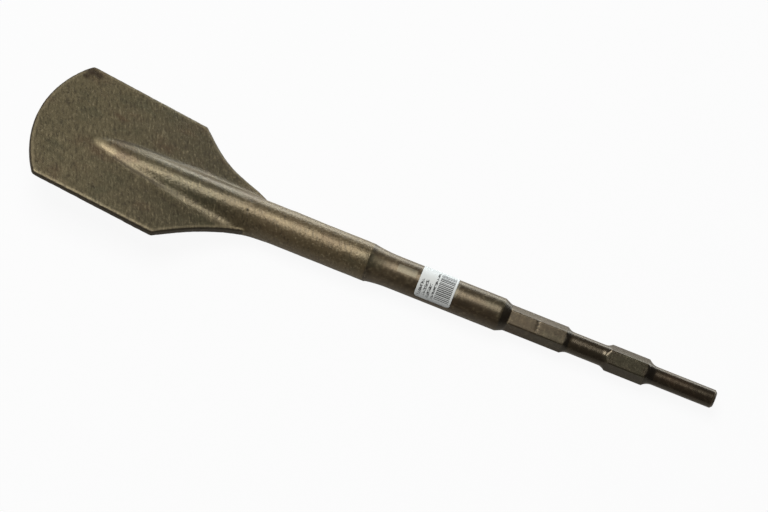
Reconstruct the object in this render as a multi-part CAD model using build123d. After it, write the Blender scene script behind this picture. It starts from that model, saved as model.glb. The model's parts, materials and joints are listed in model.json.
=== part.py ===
from build123d import *
import os
from math import atan, atan2, cos, degrees, hypot, radians, sin, sqrt, tan

# Spade chisel for a breaker hammer. One piece of steel: a turned tail and
# neck between two hexagons, a round body, the raw forged bar, and a wide
# round-ended blade that the bar runs out into as a rib. A paper label is
# stuck round the body.
#
# The design frame, in millimetres: X runs along the bar from the end of the
# tail to the tip, Z is the side that the blade is lifted towards, and Y goes
# across the blade. At the end both pieces are turned into the pose in which
# the chisel comes to rest on a level floor, with the floor at Z = 0.

# Tail, the round spigot that the striker hits
TAIL_DIAMETER = 15.0
TAIL_LENGTH = 50.0
TAIL_CHAMFER = 1.7
TAIL_RUNOUT = 8.0

# Hexagons and the neck between them
HEX_ACROSS_FLATS = 19.05
HEX_CORNER_DIAMETER = 21.9
SHORT_HEX_LENGTH = 31.3
NECK_RUNOUT = 5.7
NECK_DIAMETER = 17.2
NECK_LENGTH = 25.5
LONG_HEX_LEAD = 6.3
LONG_HEX_LENGTH = 46.1

# Round body, its shoulder on the long hexagon and its taper to the bar
SHOULDER_ROOT_DIAMETER = 20.4
SHOULDER_LENGTH = 7.4
BODY_DIAMETER = 27.0
BODY_LENGTH = 90.4
TAPER_LENGTH = 21.3
TAPER_END_DIAMETER = 31.0

# Raw forged bar, as far as the root, the point where the blade's face meets
# the bar's axis. Its tail end is cut off a little out of square.
BAR_DIAMETER = 31.4
BAR_LENGTH = 93.6
BAR_END_TILT = 9.0
BAR_END_BEARING = 37.0

# Blade. Its distances run along its own centre line from the root. Shoulders
# and edge lean: the corner on the -Y side stands out by the lean, the other back.
BLADE_PITCH = 7.25
BLADE_SKEW = 2.0
BLADE_OFFSET = 1.0
BLADE_SHOULDER = 69.2
BLADE_SHOULDER_WIDTH = 118.0
BLADE_SHOULDER_LEAN = 1.5
BLADE_SIDE_LENGTH = 103.7
BLADE_EDGE_WIDTH = 120.2
BLADE_EDGE_RADIUS = 99.0
BLADE_EDGE_LEAN = 1.3
BLADE_ROOT_THICKNESS = 7.6
BLADE_TIP_THICKNESS = 4.8
BLADE_ROUNDING = 1.2
SHOULDER_CORNER_RADIUS = 2.5
EDGE_CORNER_RADIUS = 4.0

# Flare, the outline between the bar and the shoulders of the blade. It starts
# inside the bar, and its neck lies off the centre line, by the lean towards -Y.
FLARE_LEAD = 26.0
FLARE_LEAD_WIDTH = 18.0
FLARE_LEAD_ANGLE = 12.0
FLARE_NECK = 2.0
FLARE_NECK_WIDTH = 38.0
FLARE_NECK_LEAN = 3.3
FLARE_WAIST = 36.0
FLARE_WAIST_WIDTH = 67.0
FLARE_ANGLE = 42.0

# Ribs, where the bar runs out into the front and the back of the blade. The
# bar stays straight for the lead, turns in a gentle bend, and its crest then
# runs straight into the blade at the rib's length.
RIB_LEAD = 6.0
FRONT_RIB_LENGTH = 144.0
FRONT_RIB_BEND = 4.0
BACK_RIB_LENGTH = 118.0
BACK_RIB_BEND = 20.0
RIB_FILLET = 2.5

# Paper label on the body
LABEL_START = 39.4
LABEL_LENGTH = 29.8
LABEL_WRAP = 178.0
LABEL_THICKNESS = 0.2
LABEL_GLUE = 0.05
LABEL_CORNER_RADIUS = 2.5

# Places along the bar that follow from the lengths
SHORT_HEX_START = TAIL_LENGTH + TAIL_RUNOUT
SHORT_HEX_END = SHORT_HEX_START + SHORT_HEX_LENGTH
NECK_START = SHORT_HEX_END + NECK_RUNOUT
NECK_END = NECK_START + NECK_LENGTH
LONG_HEX_START = NECK_END + LONG_HEX_LEAD
LONG_HEX_END = LONG_HEX_START + LONG_HEX_LENGTH
BODY_START = LONG_HEX_END + SHOULDER_LENGTH
BODY_END = BODY_START + BODY_LENGTH
BAR_START = BODY_END + TAPER_LENGTH
ROOT = BAR_START + BAR_LENGTH

BAR_RADIUS = BAR_DIAMETER / 2
BLADE_LENGTH = BLADE_SHOULDER + BLADE_SIDE_LENGTH
BLADE_REACH = BLADE_LENGTH + BLADE_EDGE_RADIUS - sqrt(
    BLADE_EDGE_RADIUS**2 - (BLADE_EDGE_WIDTH / 2) ** 2)

# Room by which a cutting block stands past what it cuts, room by which the
# plate stands past the start of the flare, the distance within which an edge
# counts as lying on a face, and the precision of the roll in degrees
ROOM = 20.0
PLATE_ROOM = 2.0
TOUCH = 0.01
ROLL_PRECISION = 0.001


def blade_thickness(distance):
    """Thickness of the blade at a distance from its root."""
    share = distance / BLADE_REACH
    return BLADE_ROOT_THICKNESS + share * (BLADE_TIP_THICKNESS - BLADE_ROOT_THICKNESS)


def sloping_face(depth, slope):
    """A plane across the blade, this deep below its front at the root, that rises at a slope."""
    rise = radians(slope)
    lift = radians(BLADE_PITCH)
    return Plane(origin=(ROOT + depth * sin(lift), 0, -depth * cos(lift)),
                 x_dir=(cos(rise), 0, sin(rise)), z_dir=(-sin(rise), 0, cos(rise)))


BACK_SLOPE = BLADE_PITCH + degrees(atan((BLADE_ROOT_THICKNESS - BLADE_TIP_THICKNESS) / BLADE_REACH))
FRONT_FACE = sloping_face(0, BLADE_PITCH)
BACK_FACE = sloping_face(BLADE_ROOT_THICKNESS, BACK_SLOPE)
MIDDLE = sloping_face(BLADE_TIP_THICKNESS / 2, BLADE_PITCH)
OUTLINE_PLACE = FRONT_FACE * Pos(0, BLADE_OFFSET, 0) * Rot(Z=-BLADE_SKEW)


def edges_on(face, body):
    """The edges of a body that lie on a face of the blade."""
    return [edge for edge in body.edges()
            if all(abs((edge @ share - face.origin).dot(face.z_dir)) < TOUCH
                   for share in (0, 0.25, 0.5, 0.75, 1))]


def reach_across(edge):
    """How far the ends of an edge reach out to either side of the bar's axis."""
    return max(abs((edge @ 0).Y), abs((edge @ 1).Y))


def turned(outline):
    """The solid that an outline in the XY plane makes when it is turned round the bar's axis."""
    return revolve(make_face(outline), axis=Axis.X)


def round_core():
    """Everything that is turned: the tail, the neck, the shoulder, the body and its taper."""
    tail = TAIL_DIAMETER / 2
    neck = NECK_DIAMETER / 2
    body = BODY_DIAMETER / 2
    taper_end = TAPER_END_DIAMETER / 2
    middle_of_short_hex = (SHORT_HEX_START + SHORT_HEX_END) / 2
    stepped = Polyline(
        (BAR_START, taper_end), (ROOT, taper_end), (ROOT, 0), (0, 0),
        (0, tail - TAIL_CHAMFER), (TAIL_CHAMFER, tail), (middle_of_short_hex, tail),
        (middle_of_short_hex, neck), (LONG_HEX_END, neck),
        (LONG_HEX_END, SHOULDER_ROOT_DIAMETER / 2), (BODY_START, body), (BODY_END, body))
    taper = TangentArc((BODY_END, body), (BAR_START, taper_end), tangent=(1, 0))
    return turned([stepped, taper])


def hexagon(start, end):
    """A hexagonal length of the bar, with a corner towards the lifted side of the blade."""
    section = Plane.YZ.offset(start) * RegularPolygon(
        HEX_ACROSS_FLATS / 2, 6, major_radius=False, rotation=30)
    return extrude(section, amount=end - start)


def short_hex():
    """The short hexagon. Its ends are turned down in a hollow curve to the tail and the neck."""
    tail = TAIL_DIAMETER / 2
    neck = NECK_DIAMETER / 2
    corner = HEX_CORNER_DIAMETER / 2
    envelope = turned([
        TangentArc((TAIL_LENGTH, tail), (SHORT_HEX_START, corner), tangent=(1, 0)),
        Line((SHORT_HEX_START, corner), (SHORT_HEX_END, corner)),
        TangentArc((NECK_START, neck), (SHORT_HEX_END, corner), tangent=(-1, 0)),
        Polyline((NECK_START, neck), (NECK_START, 0), (TAIL_LENGTH, 0), (TAIL_LENGTH, tail))])
    return hexagon(TAIL_LENGTH, NECK_START) & envelope


def long_hex():
    """The long hexagon. Its tail end is turned down to the neck, and the body follows it."""
    neck = NECK_DIAMETER / 2
    corner = HEX_CORNER_DIAMETER / 2
    end = BODY_START - SHOULDER_LENGTH / 2
    envelope = turned([
        TangentArc((NECK_END, neck), (LONG_HEX_START, corner), tangent=(1, 0)),
        Polyline((LONG_HEX_START, corner), (end, corner), (end, 0), (NECK_END, 0), (NECK_END, neck))])
    return hexagon(NECK_END, end) & envelope


def forged_bar():
    """The raw bar, with the slanting end that the turning of the body left on it."""
    bar = Plane.YZ.offset(BODY_END) * Cylinder(
        BAR_RADIUS, TAPER_LENGTH + BAR_LENGTH + RIB_LEAD, align=(Align.CENTER, Align.CENTER, Align.MIN))
    end = Plane.YZ.offset(BAR_START) * Rot(Z=BAR_END_BEARING) * Rot(X=BAR_END_TILT)
    return bar - end * Box(BAR_DIAMETER * 2, BAR_DIAMETER * 2, TAPER_LENGTH + ROOM,
                           align=(Align.CENTER, Align.CENTER, Align.MAX))


def rib(face, side, length, bend):
    """The bar past the root, bent so that its crest on one side, 1 or -1, runs into a face."""
    tip = face.origin + face.x_dir * length
    start = ROOT - FLARE_LEAD - ROOM
    corner = ROOT + RIB_LEAD + bend
    rise = tip.Z - side * BAR_RADIUS
    slope = atan2(rise, tip.X - corner)
    run = hypot(rise, tip.X - corner) + BAR_DIAMETER
    path = FilletPolyline(
        (start, 0, 0), (corner, 0, 0), (corner + run * cos(slope), 0, run * sin(slope)),
        radius=bend / tan(abs(slope) / 2))
    return sweep(Plane.YZ.offset(start) * Circle(BAR_RADIUS), path=path)


def flared_side(side):
    """One side of the blade's outline, 1 or -1: the flare from the bar, and the straight edge after it."""
    start = (-FLARE_LEAD, side * FLARE_LEAD_WIDTH / 2)
    neck = (FLARE_NECK, side * FLARE_NECK_WIDTH / 2 - FLARE_NECK_LEAN)
    waist = (FLARE_WAIST, side * FLARE_WAIST_WIDTH / 2)
    shoulder = (BLADE_SHOULDER - side * BLADE_SHOULDER_LEAN, side * BLADE_SHOULDER_WIDTH / 2)
    corner = (BLADE_LENGTH - side * BLADE_EDGE_LEAN, side * BLADE_EDGE_WIDTH / 2)
    directions = [(cos(radians(angle)), side * sin(radians(angle))) for angle in (FLARE_LEAD_ANGLE, FLARE_ANGLE)]
    return [Spline(start, neck, waist, shoulder, tangents=directions), Line(shoulder, corner)]


def blade_outline():
    """The blade seen square on, in its own plane, with its corners rounded."""
    left = flared_side(1)
    right = flared_side(-1)
    edge = RadiusArc(left[1] @ 1, right[1] @ 1, BLADE_EDGE_RADIUS)
    start = Line(right[0] @ 0, left[0] @ 0)
    outline = make_face([*left, edge, *right, start])
    shoulders = (BLADE_SHOULDER, BLADE_SHOULDER_LEAN, SHOULDER_CORNER_RADIUS)
    edge_corners = (BLADE_LENGTH, BLADE_EDGE_LEAN, EDGE_CORNER_RADIUS)
    for distance, lean, radius in (shoulders, edge_corners):
        points = [point for point in outline.vertices() if abs(point.X - distance) < lean + TOUCH]
        outline = fillet(points, radius)
    return outline


def plate():
    """The wedge-shaped plate that the blade is cut from, a little larger all round."""
    start = -FLARE_LEAD - PLATE_ROOM
    end = BLADE_REACH + ROOM
    across = Plane(origin=FRONT_FACE.origin, x_dir=FRONT_FACE.x_dir, z_dir=(0, -1, 0))
    section = make_face(Polyline(
        (start, 0), (end, 0), (end, -blade_thickness(end)), (start, -blade_thickness(start)), close=True))
    return extrude(across * section, amount=BLADE_EDGE_WIDTH / 2 + ROOM, both=True)


def half_space(side):
    """A block that fills one side of the blade's middle plane."""
    size = 4 * BLADE_REACH
    alignment = Align.MIN if side > 0 else Align.MAX
    return MIDDLE * Box(size, size, size, align=(Align.CENTER, Align.CENTER, alignment))


def blade_half(face, side, rib_length, rib_bend):
    """The front, 1, or the back, -1, of the blade and its rib, as far as the middle plane."""
    half = plate() + (rib(face, side, rib_length, rib_bend) & half_space(side))
    foot = [edge for edge in edges_on(face, half) if reach_across(edge) < BAR_RADIUS + TOUCH]
    half = fillet(foot, RIB_FILLET)
    below = OUTLINE_PLACE * Pos(0, 0, -BLADE_REACH)
    half = half & extrude(below * blade_outline(), amount=2 * BLADE_REACH)
    rim = [edge for edge in edges_on(face, half) if reach_across(edge) > BAR_RADIUS + RIB_FILLET]
    half = half.solid().fillet(BLADE_ROUNDING, rim)
    return half & half_space(side)


def chisel():
    """The whole tool, one piece of steel, in the design frame."""
    shank = round_core() + short_hex() + long_hex() + forged_bar()
    front = blade_half(FRONT_FACE, 1, FRONT_RIB_LENGTH, FRONT_RIB_BEND)
    back = blade_half(BACK_FACE, -1, BACK_RIB_LENGTH, BACK_RIB_BEND)
    return (shank + (front + back)).solid()


def paper_label():
    """The paper, bent round the body with its middle towards the lifted side, corners rounded."""
    inside = BODY_DIAMETER / 2 + LABEL_GLUE
    outside = inside + LABEL_THICKNESS
    middle = BODY_START + LABEL_START + LABEL_LENGTH / 2
    tube = Plane.YZ.offset(middle) * (Cylinder(outside, LABEL_LENGTH) - Cylinder(inside, LABEL_LENGTH))
    low = outside * cos(radians(LABEL_WRAP / 2))
    high = outside + LABEL_CORNER_RADIUS
    sheet = Plane.XZ * Pos(middle, (low + high) / 2) * RectangleRounded(
        LABEL_LENGTH, high - low, LABEL_CORNER_RADIUS)
    return tube & extrude(sheet, amount=BODY_DIAMETER, both=True)


def corner_depth(roll):
    """How deep one corner of the shoulder lies below the axis when the chisel is rolled on to it."""
    arcs = [edge for edge in blade_outline().edges()
            if edge.geom_type == GeomType.CIRCLE and edge.arc_center.Y < 0]
    rounding = min(arcs, key=lambda arc: arc.arc_center.X)
    front = (OUTLINE_PLACE * Pos(rounding.arc_center)).position
    thickness = blade_thickness((front - FRONT_FACE.origin).dot(FRONT_FACE.x_dir))
    centre = front - FRONT_FACE.z_dir * thickness + BACK_FACE.z_dir * BLADE_ROUNDING
    down = Vector(0, -sin(radians(roll)), -cos(radians(roll)))
    sideways = sqrt(1 - down.dot(BACK_FACE.z_dir) ** 2)
    return centre.dot(down) + (rounding.radius - BLADE_ROUNDING) * sideways + BLADE_ROUNDING


def resting_roll():
    """The roll at which the bar and the corner of the shoulder both touch the floor."""
    low = 0.0
    high = 60.0
    while high - low > ROLL_PRECISION:
        middle = (low + high) / 2
        if corner_depth(middle) < BAR_RADIUS:
            low = middle
        else:
            high = middle
    return low


def resting_place(body):
    """The move that lays a body down with its tail towards +X and its middle over the origin."""
    turn = Rot(X=-resting_roll()) * Rot(Z=180)
    box = (turn * body).bounding_box()
    return Pos(-box.center().X, -box.center().Y, BAR_RADIUS) * turn


def main():
    """Build both pieces, lay them down and write each to its own file."""
    tool = chisel()
    place = resting_place(tool)
    os.makedirs("parts", exist_ok=True)
    export_step(place * tool, "parts/chisel.step")
    export_step(place * paper_label(), "parts/paper_label.step")


if __name__ == "__main__":
    main()
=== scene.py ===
"""Looks of a spade chisel for a breaker hammer, lying on a pale studio floor.

The steel is one closed skin: a turned shank with two hexagons, and the raw forged bar with its blade,
bridged to each other at the slanting end of the bar. A paper label is stuck round the body.
"""

import json
import logging
from dataclasses import dataclass
from enum import Enum
from math import cos, exp, pi, radians, sin, sqrt
from typing import Any, Optional, Union

import bmesh
import bpy
from mathutils import Matrix, Vector, noise
from mathutils.bvhtree import BVHTree
from mathutils.kdtree import KDTree


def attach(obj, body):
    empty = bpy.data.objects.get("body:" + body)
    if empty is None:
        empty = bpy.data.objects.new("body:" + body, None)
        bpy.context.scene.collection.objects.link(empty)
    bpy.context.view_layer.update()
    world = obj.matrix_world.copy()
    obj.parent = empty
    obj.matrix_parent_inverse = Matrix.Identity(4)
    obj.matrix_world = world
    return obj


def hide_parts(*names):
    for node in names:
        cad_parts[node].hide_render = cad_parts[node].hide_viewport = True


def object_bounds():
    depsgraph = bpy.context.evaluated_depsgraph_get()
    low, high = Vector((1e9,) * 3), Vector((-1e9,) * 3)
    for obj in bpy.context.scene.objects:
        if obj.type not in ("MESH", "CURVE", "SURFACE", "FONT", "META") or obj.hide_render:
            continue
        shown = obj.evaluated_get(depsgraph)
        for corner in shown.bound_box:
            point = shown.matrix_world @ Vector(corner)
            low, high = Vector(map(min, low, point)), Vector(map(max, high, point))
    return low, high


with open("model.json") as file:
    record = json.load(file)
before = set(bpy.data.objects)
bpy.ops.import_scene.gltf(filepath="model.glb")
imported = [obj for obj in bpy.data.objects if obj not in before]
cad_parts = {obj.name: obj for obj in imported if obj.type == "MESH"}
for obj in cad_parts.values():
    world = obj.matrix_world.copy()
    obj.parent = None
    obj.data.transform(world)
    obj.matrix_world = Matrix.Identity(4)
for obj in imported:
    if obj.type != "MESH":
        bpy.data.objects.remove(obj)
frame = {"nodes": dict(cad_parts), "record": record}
CAD_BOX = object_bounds()

MM = 0.001
Colour = tuple[float, float, float]
Skin = bmesh.types.BMesh


class Slot(Enum):
    """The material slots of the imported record."""

    STEEL = "forged_steel"
    PAPER = "label_paper"


def linear(red: int, green: int, blue: int) -> Colour:
    """A colour as it looks on a screen, 0 to 255, turned into the linear numbers that shaders take."""
    shares = (red / 255, green / 255, blue / 255)
    return tuple(share / 12.92 if share < 0.04045 else ((share + 0.055) / 1.055) ** 2.4 for share in shares)


@dataclass(frozen=True)
class Lay:
    """How the tool lies on the floor: on its bar and on one corner of the blade's shoulder.

    Pieces are modelled in millimetres along the tool: X from the end of the tail to the tip, Z towards the
    side that the blade is lifted to, Y across the blade.
    """

    roll: float = 17.4188

    def matrix(self) -> Matrix:
        """The move from the tool's own millimetres to its place in the frame, in metres."""
        tail = frame["record"]["mounts"][0]["pos_m"]
        end = Vector((CAD_BOX[1][0], tail[1], tail[2]))
        turn = Matrix.Rotation(-radians(self.roll), 4, "X") @ Matrix.Rotation(pi, 4, "Z")
        return Matrix.Translation(end) @ turn @ Matrix.Scale(MM, 4)


class Number:
    """A number that varies over a surface. Python's operators on it add Math nodes."""

    def __init__(self, tree: "Tree", socket: bpy.types.NodeSocket) -> None:
        """Wrap one output socket of a tree."""
        self.tree = tree
        self.socket = socket

    def __add__(self, other: "Amount") -> "Number":
        """Self plus other."""
        return self.tree.math("ADD", self, other)

    def __sub__(self, other: "Amount") -> "Number":
        """Self less other."""
        return self.tree.math("SUBTRACT", self, other)

    def __rsub__(self, other: "Amount") -> "Number":
        """Other less self."""
        return self.tree.math("SUBTRACT", other, self)

    def __mul__(self, other: "Amount") -> "Number":
        """Self times other."""
        return self.tree.math("MULTIPLY", self, other)

    def __truediv__(self, other: "Amount") -> "Number":
        """Self divided by other."""
        return self.tree.math("DIVIDE", self, other)

    __radd__ = __add__
    __rmul__ = __mul__

    def rise(self, low: float, high: float) -> "Number":
        """A smooth step of self.

        Args:
            low: Where the step starts, at 0.
            high: Where it ends, at 1. Below low for a falling step.

        Returns:
            A number from 0 to 1.
        """
        if low > high:
            return 1 - self.rise(high, low)
        inputs = {"Value": self, "From Min": low, "From Max": high}
        return self.tree.number("ShaderNodeMapRange", {"interpolation_type": "SMOOTHSTEP"}, inputs)

    def band(self, low: float, high: float, soft: float) -> "Number":
        """1 where self lies between low and high, with soft ends of this width."""
        return self.rise(low - soft, low + soft) * self.rise(high + soft, high - soft)


Amount = Union[Number, float]
Input = Union[Number, bpy.types.NodeSocket, float, tuple]


class Tree:
    """The node tree of one material, with a Principled shader at its end."""

    def __init__(self, name: str) -> None:
        """Make an empty material with this name."""
        self.material = bpy.data.materials.new(name)
        self.material.use_nodes = True
        self.nodes = self.material.node_tree.nodes
        self.links = self.material.node_tree.links
        self.nodes.clear()
        self.output = self.nodes.new("ShaderNodeOutputMaterial")
        self.place = self.node("ShaderNodeTexCoord").outputs["Object"]

    def node(self, kind: str, settings: Optional[dict[str, Any]] = None,
             inputs: Optional[dict[Union[str, int], Input]] = None) -> bpy.types.Node:
        """Add one node.

        Args:
            kind: The node's type.
            settings: Its properties, which are set first.
            inputs: Values or links of its sockets, by name or by number.

        Returns:
            The new node.
        """
        made = self.nodes.new(kind)
        for name, value in (settings or {}).items():
            setattr(made, name, value)
        for name, value in (inputs or {}).items():
            self.feed(made.inputs[name], value)
        return made

    def feed(self, socket: bpy.types.NodeSocket, value: Input) -> None:
        """Link a value to a socket, or set it there."""
        if isinstance(value, Number):
            self.links.new(value.socket, socket)
        elif isinstance(value, bpy.types.NodeSocket):
            self.links.new(value, socket)
        elif isinstance(value, tuple) and socket.type == "RGBA":
            socket.default_value = (*value, 1.0)
        else:
            socket.default_value = value

    def number(self, kind: str, settings: Optional[dict[str, Any]] = None,
               inputs: Optional[dict[Union[str, int], Input]] = None, output: Union[str, int] = 0) -> Number:
        """Add one node and wrap one of its outputs as a Number."""
        return Number(self, self.node(kind, settings, inputs).outputs[output])

    def math(self, operation: str, *values: Amount) -> Number:
        """Add one Math node on these values."""
        return self.number("ShaderNodeMath", {"operation": operation}, dict(enumerate(values)))

    def blend(self, share: Amount, first: Input, second: Input) -> bpy.types.NodeSocket:
        """Mix two colours.

        Args:
            share: 0 for the first colour, 1 for the second.
            first: The first colour.
            second: The second colour.

        Returns:
            The mixed colour.
        """
        mix = self.node("ShaderNodeMix", {"data_type": "RGBA"}, {0: share, 6: first, 7: second})
        return mix.outputs[2]

    def grain(self, size: float, detail: float = 2.0, roughness: float = 0.5,
              stretch: tuple[float, float, float] = (1.0, 1.0, 1.0), turn: float = 0.0) -> Number:
        """Soft noise over the surface.

        Args:
            size: Width of one spot, in millimetres.
            detail: How many finer layers it has.
            roughness: How strong the finer layers are.
            stretch: Scale of the pattern along each axis. Below 1, the spots are longer that way.
            turn: Degrees by which the axes of the stretch are turned about Z.

        Returns:
            A number from 0 to 1, mostly near the middle.
        """
        rotation = (0, 0, -radians(turn))
        turned = self.node("ShaderNodeMapping", None, {"Vector": self.place, "Rotation": rotation})
        placed = self.node("ShaderNodeMapping", None, {"Vector": turned.outputs[0], "Scale": stretch})
        inputs = {"Vector": placed.outputs[0], "Scale": 1 / (size * MM), "Detail": detail,
                  "Roughness": roughness}
        return self.number("ShaderNodeTexNoise", None, inputs)

    def near(self, place: Vector, reach: float) -> Number:
        """A soft round spot: 1 at a place of the frame, and 0 beyond its reach, both in metres."""
        inputs = {0: self.place, 1: tuple(place)}
        apart = self.number("ShaderNodeVectorMath", {"operation": "DISTANCE"}, inputs, "Value")
        return apart.rise(reach, reach * 0.3)

    def finish(self, shader: dict[str, Input], height: Number, depth: float) -> bpy.types.Material:
        """End the tree in a Principled shader.

        Args:
            shader: The shader's sockets.
            height: The fine relief of the surface, 0 to 1.
            depth: How deep that relief is, in millimetres.

        Returns:
            The material.
        """
        bump = self.node("ShaderNodeBump", None, {"Strength": 1.0, "Distance": depth * MM, "Height": height})
        end = self.node("ShaderNodeBsdfPrincipled", None, {**shader, "Normal": bump.outputs[0]})
        self.links.new(end.outputs[0], self.output.inputs["Surface"])
        return self.material


@dataclass(frozen=True)
class Spot:
    """A round mark on the steel, in millimetres along, across and up from the tool's axis."""

    place: tuple[float, float, float]
    reach: float


class SteelSurface:
    """The zones and the grains that the finish of the steel is mixed from, each a number from 0 to 1."""

    def __init__(self, tree: Tree, places: "Places", stroke_turn: float) -> None:
        """Lay the zones and the grains over the steel.

        Args:
            tree: The tree of the steel's material.
            places: Where the zones of the tool lie along X, in metres.
            stroke_turn: Degrees by which the hammer's strokes are turned about Z.
        """
        self.tree = tree
        split = tree.node("ShaderNodeSeparateXYZ", None, {0: tree.place})
        self.along, self.across, self.up = (Number(tree, output) for output in split.outputs)
        self.edge, self.brim, self.foot = (
            tree.number("ShaderNodeAttribute", {"attribute_name": name}, None, "Fac")
            for name in ("edge", "brim", "foot"))
        self.raw = self.along.rise(places.bar_start + 0.0008, places.bar_start - 0.0008)
        self.smooth = 1 - self.raw
        self.flat = self.along.rise(places.root + 0.02, places.root - 0.05)
        # Where painted shade falls on the taper beside the step at the bar's slanting end.
        self.bar_shadow = self.along.rise(places.bar_start + 0.007, places.bar_start) * self.smooth
        self.towards_tip = self.along.rise(places.root - 0.02, places.root - 0.17)
        self.towards_bar = self.along.rise(places.body_middle, places.bar_start)
        self.towards_end = self.along.rise(places.long_hex, places.short_hex)
        self.thin = self.along.rise(places.body_start - 0.002, places.body_start + 0.002)
        self.turned = tree.grain(1.6, 3, 0.6, (1.0, 0.05, 0.05))
        self.fine = tree.grain(1.2, 3, 0.7)
        self.grit = tree.grain(2.0, 3, 0.7)
        self.strokes = tree.grain(1.6, 3, 0.65, (1.0, 0.25, 0.5), stroke_turn)
        self.mottle = tree.grain(3.2, 2, 0.5)
        self.clouds = tree.grain(24, 3, 0.6, (0.6, 1.0, 1.0))
        self.spots = tree.grain(6, 2, 0.6)
        self.film = self.film_on(places)

    def film_on(self, places: "Places") -> Number:
        """Where the clear film that holds the label lies: a wide end and a narrow one."""
        wide = self.along.band(*places.wide_film, 0.0006) * self.across.band(-0.0098, -0.0034, 0.0005)
        narrow = self.along.band(*places.narrow_film, 0.0004) * self.across.band(-0.0125, -0.0015, 0.0008)
        return (wide + narrow) * self.up.rise(0.018, 0.02)


@dataclass(frozen=True)
class ForgedSteel:
    """Brown oxide on steel: grainy on the bar, hammered on the blade, turned and smooth on the shank. Some of
    its colours are painted shade, painted highlight and a painted sheen.
    """

    bar: Colour = linear(84, 72, 51)
    blade_root: Colour = linear(62, 56, 40)
    blade_tip: Colour = linear(82, 74, 53)
    taper: Colour = linear(72, 61, 44)
    body: Colour = linear(58, 48, 34)
    hexagon: Colour = linear(50, 41, 28)
    tail: Colour = linear(36, 29, 20)
    # Painted shade: for the shank's hollows, beside the bar's slanting end, in the crease and the pit, and
    # along the rib's foot.
    painted_shade: Colour = linear(14, 11, 8)
    stain: Colour = linear(62, 42, 26)
    moss: Colour = linear(62, 62, 46)
    # Dark scale on the steel; also used as painted shade on the blade's narrow sides.
    scale: Colour = linear(36, 30, 22)
    # Pale worn steel for wear, flecks and mottle; also painted highlight on the brims, the sharp edges and
    # the rib's tip.
    wear_and_painted_highlight: Colour = linear(158, 144, 112)
    rust: Colour = linear(30, 17, 7)
    # Pale colour on the clear film: a painted sheen, since the film itself is clear.
    film: Colour = linear(150, 146, 126)
    shine: Colour = (1.0, 0.86, 0.64)
    metallic: float = 0.35
    specular: float = 0.6
    relief_depth: float = 0.3
    stroke_turn: float = 23.0
    # Painted highlight on the front rib's crest and lower flank near its tip.
    painted_highlight_spots: tuple[Spot, ...] = (Spot((524.0, 1.8, 17.6), 6.5), Spot((519.0, 3.0, 17.2), 6.5),
                                     Spot((512.0, 4.5, 16.4), 6.5))
    rust_spots: tuple[Spot, ...] = (Spot((556, -59, 21), 7), Spot((549, -58, 20), 5), Spot((558, -52, 22), 4))
    # Painted shade in the crease on the long hexagon and in the pit near the blade's root.
    painted_shade_spots: tuple[Spot, ...] = (Spot((150.3, 0.4, 10.7), 1.5), Spot((150.0, 2.6, 9.6), 1.2),
                                    Spot((149.8, 4.8, 8.4), 1.1), Spot((149.7, 7.0, 7.1), 1.0),
                                    Spot((395.2, 6.3, 14.4), 1.3), Spot((394.5, 7.7, 13.7), 1.4),
                                    Spot((393.9, 9.1, 12.8), 1.3))

    def material(self, places: "Places", lay: Lay) -> bpy.types.Material:
        """Build the finish.

        Args:
            places: Where the zones of the tool lie along X, in metres.
            lay: How the tool lies.

        Returns:
            The material.
        """
        tree = Tree("forged_steel_oxide")
        face = SteelSurface(tree, places, self.stroke_turn)
        colour = self.marked(face, self.rubbed(face, self.oxide(face)), places, lay)
        relief = (face.raw * (face.grit * 0.75 + face.strokes * 0.8)
                  + face.smooth * (face.turned * 0.14 + face.mottle * 0.05))
        shader = {"Base Color": colour, "Roughness": self.roughness(face), "Metallic": self.metallic,
                  "Specular IOR Level": self.specular, "Specular Tint": self.shine}
        return tree.finish(shader, relief, self.relief_depth)

    def oxide(self, face: SteelSurface) -> Input:
        """The colour of the oxide skin, zone by zone, with painted shade beside the bar's slanting end, and
        its stains and scale.
        """
        blend = face.tree.blend
        blade = blend(face.towards_tip, self.blade_root, self.blade_tip)
        spigot = blend(face.towards_end, self.hexagon, self.tail)
        shank = blend(face.thin, blend(face.towards_bar, self.body, self.taper), spigot)
        zone = blend(face.raw, shank, blend(face.flat, self.bar, blade))
        # Painted shade on the taper beside the bar's slanting end.
        shadowed = blend(face.bar_shadow * 0.6, zone, self.painted_shade)
        mossy = blend(face.clouds.rise(0.46, 0.3) * 0.4, shadowed, self.moss)
        stained = blend(face.clouds.rise(0.5, 0.72) * (0.4 + face.flat * 0.2), mossy, self.stain)
        dull = face.mottle.rise(0.52, 0.36) * face.smooth * (0.3 - face.towards_end * 0.15)
        bright = face.mottle.rise(0.52, 0.72) * face.smooth * (0.12 - face.towards_end * 0.08)
        mottled = blend(bright, blend(dull, stained, self.scale), self.wear_and_painted_highlight)
        pitted = blend(face.strokes.rise(0.5, 0.32) * face.raw * 0.6, mottled, self.scale)
        return blend(face.spots.rise(0.62, 0.76) * 0.35, pitted, self.scale)

    def rubbed(self, face: SteelSurface, colour: Input) -> Input:
        """The colour with bright flecks, wear and painted highlight on the brims and edges, painted shade on
        the blade's narrow sides, and painted shade along the rib's foot.
        """
        blend = face.tree.blend
        flecks = face.grit.rise(0.54, 0.72) * face.raw * (0.4 - face.flat * 0.25)
        strokes = face.strokes.rise(0.54, 0.72) * face.flat * face.raw * 0.24
        # Pale band along the blade's bevelled brims: rub wear and painted highlight.
        brims = face.brim.band(0.3, 0.66, 0.12) * (0.5 + face.fine * 0.5) * 0.16
        for bright in (flecks, strokes, brims):
            colour = blend(bright, colour, self.wear_and_painted_highlight)
        # Painted shade on the blade's narrow sides and their rounding.
        painted_side_shade = blend(face.brim.rise(0.66, 0.8) * 0.85, colour, self.scale)
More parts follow.
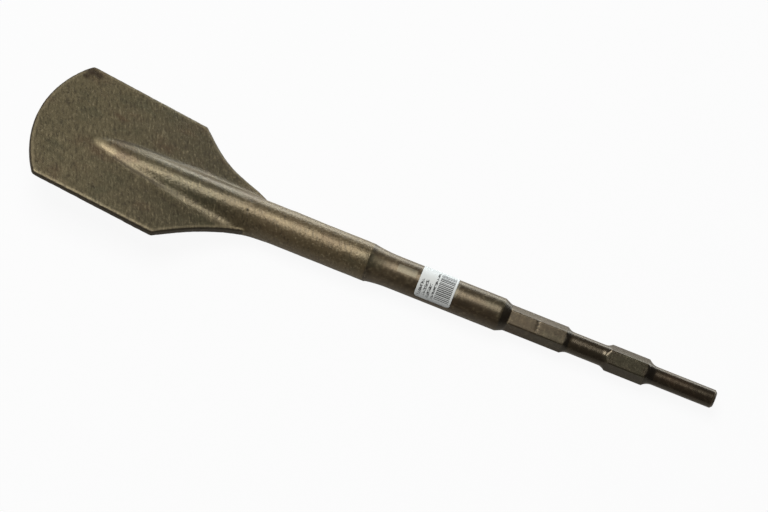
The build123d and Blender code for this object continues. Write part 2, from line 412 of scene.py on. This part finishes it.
        # Lighter sharp edges: wear, and painted highlight such as the bright line along the bar's slanting
        # end.
        wear_and_painted_highlight = blend(face.edge.rise(0.25, 0.9) * (0.5 - face.brim * 0.5), painted_side_shade, self.wear_and_painted_highlight)
        # Painted shade along the crisp foot of the front rib.
        return blend(face.foot * 0.6, wear_and_painted_highlight, self.painted_shade)

    def marked(self, face: SteelSurface, colour: Input, places: "Places", lay: Lay) -> Input:
        """The colour with painted shade, painted highlight, a painted sheen and the tool's own rust on it.

        Args:
            face: The zones and grains of the steel.
            colour: The colour below the marks.
            places: Where the hollows that get painted shade lie, and the film.
            lay: How the tool lies.

        Returns:
            The colour with painted shade in the hollows, spots of painted highlight, rust and painted shade,
            and the film's painted sheen.
        """
        blend = face.tree.blend
        # Painted shade on the tail's chamfer, the runouts before the hexagons and the shoulder's cone.
        for cone in places.cones:
            colour = blend(face.along.band(*cone, 0.0005) * 0.8, colour, self.painted_shade)
        rusty = face.grit.rise(0.25, 0.5) * 0.85
        # Spots of painted highlight on the rib's tip, real rust on the blade's corner, and painted shade in
        # the crease and the pit.
        for spots, share, tone in ((self.painted_highlight_spots, 0.3, self.wear_and_painted_highlight), (self.rust_spots, rusty, self.rust),
                                   (self.painted_shade_spots, 0.85, self.painted_shade)):
            for spot in spots:
                near = face.tree.near(lay.matrix() @ Vector(spot.place), spot.reach * MM)
                colour = blend(near * share, colour, tone)
        # Painted sheen of the clear film over the body.
        return blend(face.film * 0.25, colour, self.film)

    def roughness(self, face: SteelSurface) -> Number:
        """How rough the steel is: glossy towards the tail, rougher on its brims and at the rib's foot."""
        grains = (face.clouds - 0.5) * 0.15 + (face.fine - 0.5) * 0.1
        grains = grains + (face.grit - 0.5) * face.raw * 0.3 + (face.mottle - 0.5) * face.smooth * 0.12
        zones = 0.35 + face.raw * 0.01 - face.towards_end * 0.09
        return zones + grains + face.film * 0.08 + face.brim * 0.15 + face.foot * 0.25


@dataclass(frozen=True)
class LabelPaper:
    """White gummed paper with a block of plain bars and four columns of small marks."""

    paper: Colour = linear(190, 192, 188)
    ink: Colour = linear(34, 32, 30)

    def material(self, label: "PaperLabel") -> bpy.types.Material:
        """Build the finish. The label's UV map is in millimetres, along it and round the body."""
        tree = Tree("printed_paper")
        uv = tree.node("ShaderNodeUVMap", {"uv_map": "sheet"}).outputs[0]
        split = tree.node("ShaderNodeSeparateXYZ", None, {0: uv})
        along, around = (Number(tree, output) for output in split.outputs[:2])

        def random(position: Input) -> Number:
            """One random number, 0 to 1, for each whole number of the position."""
            return tree.number("ShaderNodeTexWhiteNoise", {"noise_dimensions": "2D"}, {"Vector": position})

        def cells(width: float, height: float) -> Input:
            """The print divided into cells of this size, in millimetres."""
            column = tree.math("FLOOR", along / width)
            row = tree.math("FLOOR", around / height)
            return tree.node("ShaderNodeCombineXYZ", None, {0: column, 1: row}).outputs[0]

        whole = label.length * 2
        width = random(cells(whole, label.bar_pitch)) * 0.45 + 0.4
        ink = (width - tree.math("FRACT", around / label.bar_pitch)).rise(-0.05, 0.05)
        ink = ink * along.band(*label.bars, 0.1) * around.band(*label.bars_around, 0.1)
        for low, high, start, end in label.columns:
            marks = random(cells(0.7, 0.8)).rise(0.3, 0.45) * random(cells(whole, 1.8)).rise(0.04, 0.1)
            ink = ink + marks * along.band(low, high, 0.1) * around.band(start, end, 0.2)
        fibres = tree.grain(2.5, 4, 0.6)
        colour = tree.blend(fibres.rise(0.45, 0.8) * 0.15, self.paper, linear(188, 188, 180))
        printed = tree.blend(ink * 0.9, colour, self.ink)
        shader = {"Base Color": printed, "Roughness": 0.65 + fibres * 0.1, "Specular IOR Level": 0.3}
        return tree.finish(shader, fibres, 0.02)


@dataclass(frozen=True)
class Places:
    """Where the zones of the tool lie along the frame's X, in metres."""

    short_hex: float
    long_hex: float
    body_start: float
    body_middle: float
    bar_start: float
    root: float
    wide_film: tuple[float, float]
    narrow_film: tuple[float, float]
    cones: tuple[tuple[float, float], ...]

    @staticmethod
    def of(shank: "Shank", forging: "Forging", label: "PaperLabel") -> "Places":
        """Work out the places from the sizes of the steel and of the label.

        Args:
            shank: The turned half of the tool.
            forging: The raw bar and the blade.
            label: The label, with the clear film at both its ends.

        Returns:
            The places.
        """
        def at(station: float) -> float:
            """X of a distance from the end of the tail."""
            return CAD_BOX[1][0] - station * MM

        body_middle = (shank.body_start + shank.body_end) / 2
        label_start = shank.body_start + label.start
        label_end = label_start + label.length
        # The shank's hollows, which get painted shade.
        cones = ((-1, shank.tail_chamfer), (shank.tail_length + 1, shank.short_hex_start),
                 (shank.neck_end + 2, shank.long_hex_start),
                 (shank.long_hex_end + 0.6, shank.body_start - 0.8))
        return Places(at(shank.short_hex_end), at(shank.long_hex_end), at(shank.body_start), at(body_middle),
                      at(shank.bar_start), at(forging.root.x), (at(label_end + 19), at(label_end + 3)),
                      (at(label_start), at(label_start - 2)),
                      tuple((at(high), at(low)) for low, high in cones))


@dataclass(frozen=True)
class Dent:
    """A knock in the steel.

    Attributes:
        distance: From the end of the tail, in millimetres.
        bearing: Round the bar, in degrees from the lifted side.
        depth: How deep it is at its middle.
        reach: How far it spreads.
    """

    distance: float
    bearing: float
    depth: float
    reach: float


CREASE = tuple(Dent(150.4 - 0.5 * (number % 3), -4.0 - 6.5 * number, 0.16, 0.8) for number in range(9))
NICKS = (Dent(150.3, 1.0, 0.5, 1.1), Dent(156.3, 44.0, 0.35, 0.9), Dent(149.0, 30.0, 0.3, 1.0),
         Dent(137.3, 46.0, 0.3, 0.9))
PIT = (Dent(394.5, -29.0, 0.5, 1.0), Dent(393.9, -35.0, 0.3, 0.8))


@dataclass
class Shank:
    """The turned half of the tool, from the tail to the slanting end of the bar, in millimetres."""

    tail_radius: float = 7.5
    tail_length: float = 50.0
    tail_chamfer: float = 1.7
    tail_runout: float = 8.0
    hex_across_flats: float = 19.05
    hex_corner_radius: float = 10.95
    short_hex_length: float = 31.3
    neck_runout: float = 5.7
    neck_radius: float = 8.6
    neck_length: float = 25.5
    long_hex_lead: float = 6.3
    long_hex_length: float = 46.1
    shoulder_root_radius: float = 10.2
    shoulder_length: float = 7.4
    body_radius: float = 13.5
    body_length: float = 90.4
    taper_length: float = 21.3
    taper_end_radius: float = 15.5
    ring_pitch: float = 0.95
    step: float = 0.02
    spare: float = 5.0
    sides: int = 96

    def __post_init__(self) -> None:
        """Work out the stations along the tool from the lengths."""
        self.short_hex_start = self.tail_length + self.tail_runout
        self.short_hex_end = self.short_hex_start + self.short_hex_length
        self.neck_start = self.short_hex_end + self.neck_runout
        self.neck_end = self.neck_start + self.neck_length
        self.long_hex_start = self.neck_end + self.long_hex_lead
        self.long_hex_end = self.long_hex_start + self.long_hex_length
        self.body_start = self.long_hex_end + self.shoulder_length
        self.body_end = self.body_start + self.body_length
        self.bar_start = self.body_end + self.taper_length

    def hollow(self, place: float, low: tuple[float, float], high: tuple[float, float]) -> float:
        """Radius along a hollow arc that leaves its low end in line with the bar.

        Args:
            place: Distance from the end of the tail.
            low: Distance and radius of the low end.
            high: Distance and radius of the high end.

        Returns:
            The radius at that place.
        """
        run = high[0] - low[0]
        climb = high[1] - low[1]
        arc = (run * run + climb * climb) / (2 * climb)
        return low[1] + arc - sqrt(arc * arc - (place - low[0]) ** 2)

    def envelope(self, place: float) -> float:
        """Radius of the turned form at a distance from the end of the tail."""
        corner = self.hex_corner_radius
        if place < self.tail_chamfer:
            return self.tail_radius - self.tail_chamfer + place
        if place <= self.tail_length:
            return self.tail_radius
        if place < self.short_hex_start:
            return self.hollow(place, (self.tail_length, self.tail_radius), (self.short_hex_start, corner))
        if place <= self.short_hex_end:
            return corner
        if place < self.neck_start:
            return self.hollow(place, (self.neck_start, self.neck_radius), (self.short_hex_end, corner))
        if place <= self.neck_end:
            return self.neck_radius
        if place < self.long_hex_start:
            return self.hollow(place, (self.neck_end, self.neck_radius), (self.long_hex_start, corner))
        if place < self.long_hex_end:
            return corner
        if place <= self.body_end:
            return self.body_radius
        if place <= self.bar_start:
            bar = (self.bar_start, self.taper_end_radius)
            return self.hollow(place, (self.body_end, self.body_radius), bar)
        return self.taper_end_radius

    def radius(self, place: float, bearing: float) -> float:
        """Radius of the shank, its flats taken into account.

        Args:
            place: Distance from the end of the tail.
            bearing: Degrees round the bar from the lifted side, where the hexagons have a corner.

        Returns:
            The radius there.
        """
        flat = self.hex_across_flats / 2 / cos(radians(bearing % 60 - 30))
        shape = self.envelope(place)
        if self.tail_length < place < self.long_hex_end:
            return min(shape, flat)
        if self.long_hex_end <= place < self.body_start:
            share = (place - self.long_hex_end) / self.shoulder_length
            cone = self.shoulder_root_radius + share * (self.body_radius - self.shoulder_root_radius)
            return max(cone, min(self.hex_corner_radius, flat))
        return shape

    def stations(self) -> list[float]:
        """The rings of the mesh: evenly spaced, with one at each corner of the outline."""
        corners = [self.tail_chamfer, self.tail_length, self.short_hex_start, self.short_hex_end,
                   self.neck_start, self.neck_end, self.long_hex_start, self.long_hex_end - self.step,
                   self.long_hex_end, self.body_start, self.body_end, self.bar_start]
        count = int((self.bar_start + self.spare) / self.ring_pitch)
        even = [ring * self.ring_pitch for ring in range(count + 1)]
        clear = [place for place in even
                 if min(abs(place - corner) for corner in corners) > self.ring_pitch / 3]
        return sorted(clear + corners)

    def skin(self) -> Skin:
        """The shank's skin, open at its bar end."""
        skin = bmesh.new()
        line = [skin.verts.new((0, 0, 0))]
        line += [skin.verts.new((place, 0, self.envelope(place))) for place in self.stations()]
        edges = [skin.edges.new(pair) for pair in zip(line, line[1:])]
        bmesh.ops.spin(skin, geom=line + edges, cent=(0, 0, 0), axis=(1, 0, 0), angle=2 * pi,
                       steps=self.sides, use_merge=True)
        bmesh.ops.remove_doubles(skin, verts=skin.verts, dist=0.001)
        for vert in skin.verts:
            across = Vector((0, vert.co.y, vert.co.z))
            if across.length > 0:
                bearing = Vector((0, 1)).angle_signed(Vector((vert.co.y, vert.co.z)), 0) * 180 / pi
                across *= self.radius(vert.co.x, bearing) / across.length
                vert.co = (vert.co.x, across.y, across.z)
        return skin


def evened(skin: Skin, values: list[float], passes: int) -> list[float]:
    """Even out numbers that belong to the points of a skin.

    Args:
        skin: The skin.
        values: One number for each of its points.
        passes: How many times each number is drawn halfway to the mean of its neighbours.

    Returns:
        The evened numbers.
    """
    skin.verts.index_update()
    neighbours = [[edge.other_vert(vert).index for edge in vert.link_edges] for vert in skin.verts]
    for _ in range(passes):
        values = [0.5 * value + 0.5 * sum(values[index] for index in near) / max(len(near), 1)
                  for value, near in zip(values, neighbours)]
    return values


def smooth(skin: Skin, verts: list[bmesh.types.BMVert], passes: int) -> None:
    """Smooth these points of a skin this many times over."""
    axes = {"use_axis_x": True, "use_axis_y": True, "use_axis_z": True}
    for _ in range(passes):
        bmesh.ops.smooth_vert(skin, verts=verts, factor=0.5, **axes)


@dataclass
class Forging:
    """The raw bar and the blade. The skin is laid over the solid as a fine even net, in millimetres."""

    bar_end: float
    bar_length: float = 93.6
    bar_radius: float = 15.7
    end_tilt: float = 9.0
    end_bearing: float = 37.0
    blade_pitch: float = 7.25
    shoulder: float = 69.2
    edge_start: float = 171.0
    rib_bend: float = 10.0
    rib_length: float = 144.0
    net: float = 0.95
    net_passes: int = 3
    spare: float = 5.0
    side_facing: float = 0.5
    side_clear: float = 2.5
    wide_brim: tuple[float, float] = (3.8, 0.6)
    thin_brim: tuple[float, float] = (1.9, 0.2)
    swelling: float = 1.5
    swelling_middle: float = -4.0
    swelling_run: float = 55.0
    swelling_margin: float = 0.5
    foot_start: float = -25.0
    foot_clear: float = 3.0
    foot_reach: float = 10.0
    foot_run: float = 85.0
    foot_passes: int = 60
    foot_line_start: tuple[float, float] = (50.0, 85.0)
    foot_line_middle: float = 0.8
    foot_line_reach: float = 2.2
    foot_line_blunt: float = 7.0
    skirt_reach: float = 6.0
    skirt_passes: int = 40

    def __post_init__(self) -> None:
        """Work out the slanting plane of the bar's end, and the root and the face of the blade."""
        tilt = radians(self.end_tilt)
        bearing = radians(self.end_bearing)
        self.end_normal = Vector((cos(tilt), sin(tilt) * sin(bearing), -sin(tilt) * cos(bearing)))
        self.end_point = Vector((self.bar_end, 0, 0))
        self.root = Vector((self.bar_end + self.bar_length, 0, 0))
        self.face_normal = Vector((-sin(radians(self.blade_pitch)), 0, cos(radians(self.blade_pitch))))

    def rib_half_width(self, past: float) -> float:
        """Half the width of the rib's foot at a distance past the root."""
        share = (past - self.rib_bend) / (self.rib_length - self.rib_bend)
        height = self.bar_radius * (1 - min(max(share, 0), 1))
        return sqrt(height * (2 * self.bar_radius - height))

    def above_blade(self, place: Vector) -> float:
        """How high a place lies above the blade's middle plane, on the front rib's side."""
        return (place - self.root).dot(self.face_normal)

    def foot_line(self, place: Vector) -> float:
        """How near a place is to the crisp foot that the front rib has towards its tip, 0 to 1: where painted
        shade and a rougher finish go.
        """
        past = place.x - self.root.x
        if self.above_blade(place) < 0 or past > self.rib_length + 1:
            return 0.0
        apart = abs(abs(place.y) - self.rib_half_width(past) - self.foot_line_middle)
        start, end = self.foot_line_start
        crisp = min(max((past - start) / (end - start), 0), 1)
        blunt = min(self.rib_half_width(past) / self.foot_line_blunt, 1)
        return max(0.0, 1 - apart / self.foot_line_reach) * crisp * blunt

    def apart_from_sides(self, skin: Skin) -> list[float]:
        """How far each point of a skin lies from the nearest narrow side of the blade."""
        skin.normal_update()
        sides = [vert.co for vert in skin.verts
                 if vert.co.x > self.root.x - self.foot_run / 3
                 and abs(vert.normal.dot(self.face_normal)) < self.side_facing
                 and abs(vert.co.y) > self.rib_half_width(vert.co.x - self.root.x) + self.side_clear]
        tree = KDTree(len(sides))
        for number, place in enumerate(sides):
            tree.insert(place, number)
        tree.balance()
        return [tree.find(vert.co)[2] for vert in skin.verts]

    def brim_depths(self, skin: Skin, apart: list[float]) -> list[float]:
        """How deep each point of a skin is sunk, so that the blade's brims are bevelled.

        Args:
            skin: The skin.
            apart: How far each of its points lies from the nearest narrow side.

        Returns:
            The depths, in millimetres.
        """
        depths = []
        for vert, distance in zip(skin.verts, apart):
            past = vert.co.x - self.root.x
            wide = vert.co.y > 0 and self.shoulder < past < self.edge_start
            width, depth = self.wide_brim if wide else self.thin_brim
            facing = vert.normal.dot(self.face_normal) > self.side_facing
            depths.append(depth * (1 - distance / width) ** 2 if facing and distance < width else 0.0)
        return evened(skin, depths, 2)

    def swell(self, skin: Skin) -> None:
        """Swell the bar's upper flank round the root."""
        for vert in skin.verts:
            share = 1 - abs(vert.co.x - self.root.x - self.swelling_middle) / self.swelling_run
            on_bar = abs(vert.co.y) < self.bar_radius + self.swelling_margin
            if share > 0 and vert.normal.y < 0 and on_bar:
                side = vert.normal.y * vert.normal.y * min(-vert.co.y / self.bar_radius, 1)
                vert.co.y -= self.swelling * side * share * share * (3 - 2 * share)

    def soften_foot(self, skin: Skin, apart: list[float]) -> None:
        """Round off the foot of the front rib, most of all near the root.

        Args:
            skin: The skin.
            apart: How far each of its points lies from the nearest narrow side.
        """
        foot, skirt = [], []
        for vert, distance in zip(skin.verts, apart):
            past = vert.co.x - self.root.x
            if past < self.foot_start or distance < self.foot_clear or self.above_blade(vert.co) < -1:
                continue
            reach = self.foot_reach * (1 - past / self.foot_run)
            gap = abs(abs(vert.co.y) - self.rib_half_width(past)) - reach
            if gap < 0:
                foot.append(vert)
            if gap < self.skirt_reach:
                skirt.append(vert)
        smooth(skin, foot, self.foot_passes)
        smooth(skin, skirt, self.skirt_passes)

    def work(self, skin: Skin) -> None:
        """Give the skin what the hammer left: a swollen bar, a soft foot of the rib and bevelled brims."""
        self.swell(skin)
        apart = self.apart_from_sides(skin)
        self.soften_foot(skin, apart)
        for vert, depth in zip(skin.verts, self.brim_depths(skin, apart)):
            vert.co -= self.face_normal * depth

    def solid(self, lay: Lay) -> Skin:
        """A merged copy of the solid, in the tool's own millimetres."""
        copy = bmesh.new()
        copy.from_mesh(frame["nodes"]["chisel"].data)
        bmesh.ops.transform(copy, matrix=lay.matrix().inverted(), verts=copy.verts)
        bmesh.ops.remove_doubles(copy, verts=copy.verts, dist=0.002)
        return copy

    def skin(self, lay: Lay) -> Skin:
        """The skin of the bar and the blade, open at the slanting end of the bar."""
        solid = self.solid(lay)
        surface = BVHTree.FromBMesh(solid)
        start = self.end_point - self.end_normal * self.spare
        whole = solid.verts[:] + solid.edges[:] + solid.faces[:]
        cut = bmesh.ops.bisect_plane(solid, geom=whole, dist=0.0001, plane_co=start, plane_no=self.end_normal,
                                     clear_inner=True)
        rim = [item for item in cut["geom_cut"] if isinstance(item, bmesh.types.BMEdge)]
        bmesh.ops.holes_fill(solid, edges=rim)
        netted = self.netted(solid)
        for vert in netted.verts:
            vert.co = surface.find_nearest(vert.co)[0]
        smooth(netted, netted.verts[:], self.net_passes)
        netted.normal_update()
        self.work(netted)
        return netted

    def netted(self, solid: Skin) -> Skin:
        """The same form as an even net of small squares.

        Args:
            solid: A closed mesh, which is used up.

        Returns:
            The new mesh.
        """
        mesh = bpy.data.meshes.new("net")
        solid.to_mesh(mesh)
        solid.free()
        piece = bpy.data.objects.new("net", mesh)
        bpy.context.scene.collection.objects.link(piece)
        remesh = piece.modifiers.new("net", "REMESH")
        remesh.mode = "VOXEL"
        remesh.voxel_size = self.net
        graph = bpy.context.evaluated_depsgraph_get()
        netted = bmesh.new()
        netted.from_object(piece, graph)
        bpy.data.objects.remove(piece)
        bpy.data.meshes.remove(mesh)
        return netted


@dataclass
class Chisel:
    """The whole steel, one closed skin."""

    lay: Lay
    shank: Shank
    forging: Forging
    turned_wave: float = 0.05
    raw_wave: float = 0.3
    brim_reach: float = 4.5
    least_edge: float = 0.2

    def trim(self, skin: Skin, keep_tail: bool) -> None:
        """Cut a skin at the slanting end of the bar and keep one side of it."""
        whole = skin.verts[:] + skin.edges[:] + skin.faces[:]
        bmesh.ops.bisect_plane(skin, geom=whole, dist=0.0001, plane_co=self.forging.end_point,
                               plane_no=self.forging.end_normal, clear_outer=keep_tail,
                               clear_inner=not keep_tail)

    def weather(self, skin: Skin, depth: float) -> None:
        """Sink the skin unevenly, never outwards.

        Args:
            skin: The skin.
            depth: The deepest that it sinks, in millimetres.
        """
        skin.normal_update()
        for vert in skin.verts:
            broad = noise.fractal(vert.co / 14, 1.0, 2.0, 2)
            close = noise.fractal(vert.co / 3.2, 1.0, 2.0, 2)
            share = 0.5 + 0.32 * broad + 0.18 * close
            vert.co -= vert.normal * depth * min(max(share, 0), 1)

    def knock(self, skin: Skin, dents: tuple[Dent, ...]) -> None:
        """Press the dents into the skin."""
        skin.normal_update()
        for dent in dents:
            out = Vector((0, -sin(radians(dent.bearing)), cos(radians(dent.bearing))))
            radius = self.shank.radius(dent.distance, dent.bearing)
            middle = Vector((dent.distance, 0, 0)) + out * radius
            for vert in skin.verts:
                apart = (vert.co - middle).length / dent.reach
                if apart < 3:
                    vert.co -= out * dent.depth * exp(-apart * apart)

    def mark_edges(self, mesh: bpy.types.Mesh, skin: Skin) -> None:
        """Store on the mesh where the finish gets wear and painted highlight, or painted shade.

        Args:
            mesh: The mesh made of the skin.
            skin: The skin, whose sharp edges, blade's brims and rib's foot are found.
        """
        sharp = []
        for vert in skin.verts:
            turns = [edge.calc_face_angle_signed(0) / max(edge.calc_length(), self.least_edge)
                     for edge in vert.link_edges]
            sharp.append(max(0.0, sum(turns) / len(turns)) if turns else 0.0)
        apart = self.forging.apart_from_sides(skin)
        brim = [max(0.0, 1 - distance / self.brim_reach) for distance in apart]
        foot = [self.forging.foot_line(vert.co) for vert in skin.verts]
        marks = {"edge": evened(skin, sharp, 1), "brim": evened(skin, brim, 2), "foot": foot}
        for name, values in marks.items():
            mesh.attributes.new(name, "FLOAT", "POINT").data.foreach_set("value", values)

    def build(self, dents: tuple[Dent, ...]) -> bpy.types.Object:
        """Model the steel, lay it down and let it stand for the solid.

        Args:
            dents: The knocks that the steel has.

        Returns:
            The finished piece.
        """
        steel = self.shank.skin()
        self.trim(steel, keep_tail=True)
        bmesh.ops.recalc_face_normals(steel, faces=steel.faces)
        self.weather(steel, self.turned_wave)
        blade_half = self.forging.skin(self.lay)
        self.trim(blade_half, keep_tail=False)
        self.weather(blade_half, self.raw_wave)
        other = bpy.data.meshes.new("blade_half")
        blade_half.to_mesh(other)
        blade_half.free()
        steel.from_mesh(other)
        bpy.data.meshes.remove(other)
        rims = [edge for edge in steel.edges if edge.is_boundary]
        bmesh.ops.bridge_loops(steel, edges=rims)
        bmesh.ops.triangulate(steel, faces=[face for face in steel.faces if len(face.verts) > 4])
        bmesh.ops.recalc_face_normals(steel, faces=steel.faces)
        self.knock(steel, dents)
        for face in steel.faces:
            face.smooth = True
        steel.normal_update()
        steel.verts.index_update()
        mesh = bpy.data.meshes.new("spade_chisel_steel")
        steel.to_mesh(mesh)
        self.mark_edges(mesh, steel)
        open_edges = sum(1 for edge in steel.edges if not edge.is_manifold)
        logging.info("steel: %d faces, %d open edges", len(mesh.polygons), open_edges)
        steel.free()
        mesh.transform(self.lay.matrix())
        return settle(mesh, "chisel")


@dataclass
class PaperLabel:
    """The paper stuck round the body, in millimetres."""

    body: Shank
    start: float = 39.4
    length: float = 29.8
    wrap: float = 178.0
    thickness: float = 0.2
    glue: float = 0.05
    corner: float = 2.5
    bars: tuple[float, float] = (1.8, 14.0)
    bars_around: tuple[float, float] = (-18.0, 6.4)
    bar_pitch: float = 1.45
    columns: tuple[tuple[float, float, float, float], ...] = (
        (15.0, 16.8, -18.6, 6.0), (18.4, 20.7, -18.6, -6.4), (21.9, 24.2, -17.8, -4.0),
        (25.4, 27.7, -18.6, -4.6))

    def build(self, lay: Lay) -> bpy.types.Object:
        """Model the label, bend it round the body and let it stand for the solid."""
        inside = self.body.body_radius + self.glue
        outside = inside + self.thickness
        width = outside * radians(self.wrap)
        sheet = bmesh.new()
        bmesh.ops.create_grid(sheet, x_segments=48, y_segments=64, size=0.5)
        bmesh.ops.scale(sheet, vec=(self.length, width, 1), verts=sheet.verts)
        self.round_corners(sheet, width)
        uv = sheet.loops.layers.uv.new("sheet")
        for face in sheet.faces:
            face.smooth = True
            for loop in face.loops:
                loop[uv].uv = (loop.vert.co.x + self.length / 2, -loop.vert.co.y)
        bmesh.ops.solidify(sheet, geom=sheet.faces[:], thickness=self.thickness)
        bottom = min(vert.co.z for vert in sheet.verts)
        middle = self.body.body_start + self.start + self.length / 2
        for vert in sheet.verts:
            radius = inside + vert.co.z - bottom
            angle = vert.co.y / outside
            vert.co = (middle + vert.co.x, radius * sin(angle), radius * cos(angle))
        bmesh.ops.recalc_face_normals(sheet, faces=sheet.faces)
        mesh = bpy.data.meshes.new("label_sheet")
        sheet.to_mesh(mesh)
        sheet.free()
        mesh.transform(lay.matrix())
        return settle(mesh, "paper_label")

    def round_corners(self, sheet: Skin, width: float) -> None:
        """Pull the four corners of the flat sheet in to an arc."""
        reach = Vector((self.length / 2 - self.corner, width / 2 - self.corner))
        for vert in sheet.verts:
            past = Vector((max(abs(vert.co.x) - reach.x, 0), max(abs(vert.co.y) - reach.y, 0)))
            if past.x > 0 and past.y > 0:
                square = max(past.x, past.y)
                past *= square / past.length
                vert.co.x = (reach.x + past.x) * (1 if vert.co.x > 0 else -1)
                vert.co.y = (reach.y + past.y) * (1 if vert.co.y > 0 else -1)


def settle(mesh: bpy.types.Mesh, node: str) -> bpy.types.Object:
    """Make a piece of a finished mesh, in place of a solid of the frame.

    Args:
        mesh: The mesh, in its place in the frame.
        node: The node that the piece stands for.

    Returns:
        The piece.
    """
    piece = bpy.data.objects.new(mesh.name, mesh)
    bpy.context.scene.collection.objects.link(piece)
    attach(piece, "root")
    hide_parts(node)
    return piece


@dataclass(frozen=True)
class SoftBox:
    """A rectangular studio lamp, level along X, that points at a place. Its size is along X and across."""

    name: str
    place: tuple[float, float, float]
    aim: tuple[float, float, float]
    size: tuple[float, float]
    power: float
    tint: Colour = (1.0, 1.0, 1.0)

    def hang(self) -> None:
        """Make the lamp."""
        lamp = bpy.data.lights.new(self.name, "AREA")
        lamp.shape = "RECTANGLE"
        lamp.size, lamp.size_y = self.size
        lamp.energy = self.power
        lamp.color = self.tint
        holder = bpy.data.objects.new(self.name, lamp)
        back = (Vector(self.place) - Vector(self.aim)).normalized()
        across = back.cross(Vector((1, 0, 0))).normalized()
        turn = Matrix((across.cross(back), across, back)).transposed().to_4x4()
        holder.matrix_world = Matrix.Translation(self.place) @ turn
        holder.visible_camera = False
        bpy.context.scene.collection.objects.link(holder)


@dataclass(frozen=True)
class Studio:
    """The pale floor, the lamps and the dim room round them."""

    floor_size: float = 16.0
    white: Colour = (0.5, 0.5, 0.5)
    room: Colour = (0.12, 0.12, 0.13)
    show_through: float = 0.93
    cool: Colour = (0.84, 0.92, 1.0)
    mirrored_near: float = 0.15
    mirrored_far: float = 1.0
    mirrored_from: tuple[float, float] = (-0.03, 0.03)
    tail_from: tuple[float, float] = (0.24, 0.3)
    tail_dimming: float = 0.6

    def build(self) -> None:
        """Lay the floor, set the room and hang the lamps."""
        mesh = bpy.data.meshes.new("studio_floor")
        sheet = bmesh.new()
        bmesh.ops.create_grid(sheet, x_segments=1, y_segments=1, size=self.floor_size / 2)
        sheet.to_mesh(mesh)
        sheet.free()
        floor = bpy.data.objects.new("studio_floor", mesh)
        mesh.materials.append(self.floor_finish())
        bpy.context.scene.collection.objects.link(floor)
        world = bpy.data.worlds.new("room")
        world.use_nodes = True
        world.node_tree.nodes["Background"].inputs["Color"].default_value = (*self.room, 1)
        bpy.context.scene.world = world
        SoftBox("overhead", (-0.65, 0.55, 2.6), (-0.45, 0, 0), (1.4, 1.6), 92.0).hang()
        SoftBox("far_rim", (-0.1, 2.2, 0.12), (-0.1, 0, 0), (2.6, 0.2), 13.0, self.cool).hang()
        SoftBox("far_glow", (0.27, 0.47, 0.003), (0.27, 0.47, 1), (0.96, 0.8), 14.0, self.cool).hang()

    def floor_finish(self) -> bpy.types.Material:
        """White paper. The camera sees it as nearly pure white, and mirrors see it dimmer before the tool."""
        tree = Tree("floor_paper")
        path = tree.node("ShaderNodeLightPath")
        camera, glossy, through = (Number(tree, path.outputs[f"Is {ray} Ray"]) for ray in
                                   ("Camera", "Glossy", "Transmission"))
        split = tree.node("ShaderNodeSeparateXYZ", None, {0: tree.place})
        behind = Number(tree, split.outputs[1]).rise(*self.mirrored_from)
        past_tail = Number(tree, split.outputs[0]).rise(*self.tail_from)
        gain = behind * (self.mirrored_far - self.mirrored_near) * (1 - past_tail * self.tail_dimming)
        mirrored = self.mirrored_near + gain
        seen = tree.math("MINIMUM", camera + glossy * mirrored + through, 1.0)
        matt = tree.node("ShaderNodeBsdfDiffuse", None, {"Color": self.white})
        glow = tree.node("ShaderNodeEmission", None, {"Color": (1.0, 1.0, 1.0), "Strength": 1.0})
        mix = tree.node("ShaderNodeMixShader", None, {0: seen * self.show_through, 1: matt.outputs[0],
                                                      2: glow.outputs[0]})
        tree.links.new(mix.outputs[0], tree.output.inputs["Surface"])
        return tree.material


@dataclass(frozen=True)
class Viewpoint:
    """The photograph's camera."""

    place: tuple[float, float, float] = (0.10504, -0.69683, 1.95133)
    azimuth: float = 8.057
    elevation: float = 69.957
    roll: float = 14.131
    lens: float = 122.23
    sensor: float = 36.0

    def build(self) -> None:
        """Set up the camera."""
        around, up, lean = (radians(angle) for angle in (self.azimuth, self.elevation, self.roll))
        back = Vector((sin(around) * cos(up), -cos(around) * cos(up), sin(up)))
        level = Vector((cos(around), sin(around), 0))
        right = cos(lean) * level + sin(lean) * back.cross(level)
        turn = Matrix((right, back.cross(right), back)).transposed().to_4x4()
        data = bpy.data.cameras.new("photo_view")
        data.lens = self.lens
        data.sensor_width = self.sensor
        holder = bpy.data.objects.new("photo_view", data)
        holder.matrix_world = Matrix.Translation(self.place) @ turn
        bpy.context.scene.collection.objects.link(holder)
        bpy.context.scene.camera = holder


def main() -> None:
    """Build the studio, the steel and the label, dress them and log what was built."""
    logging.basicConfig(level=logging.INFO, format="%(message)s")
    bpy.context.scene.view_settings.view_transform = "Standard"
    Viewpoint().build()
    Studio().build()
    lay = Lay()
    shank = Shank()
    forging = Forging(shank.bar_start)
    label = PaperLabel(shank)
    steel = Chisel(lay, shank, forging).build(CREASE + NICKS + PIT)
    places = Places.of(shank, forging, label)
    steel.data.materials.append(ForgedSteel().material(places, lay))
    logging.info("%s: built", steel.name)
    paper = label.build(lay)
    paper.data.materials.append(LabelPaper().material(label))
    logging.info("%s: built", paper.name)


if __name__ == "__main__":
    main()
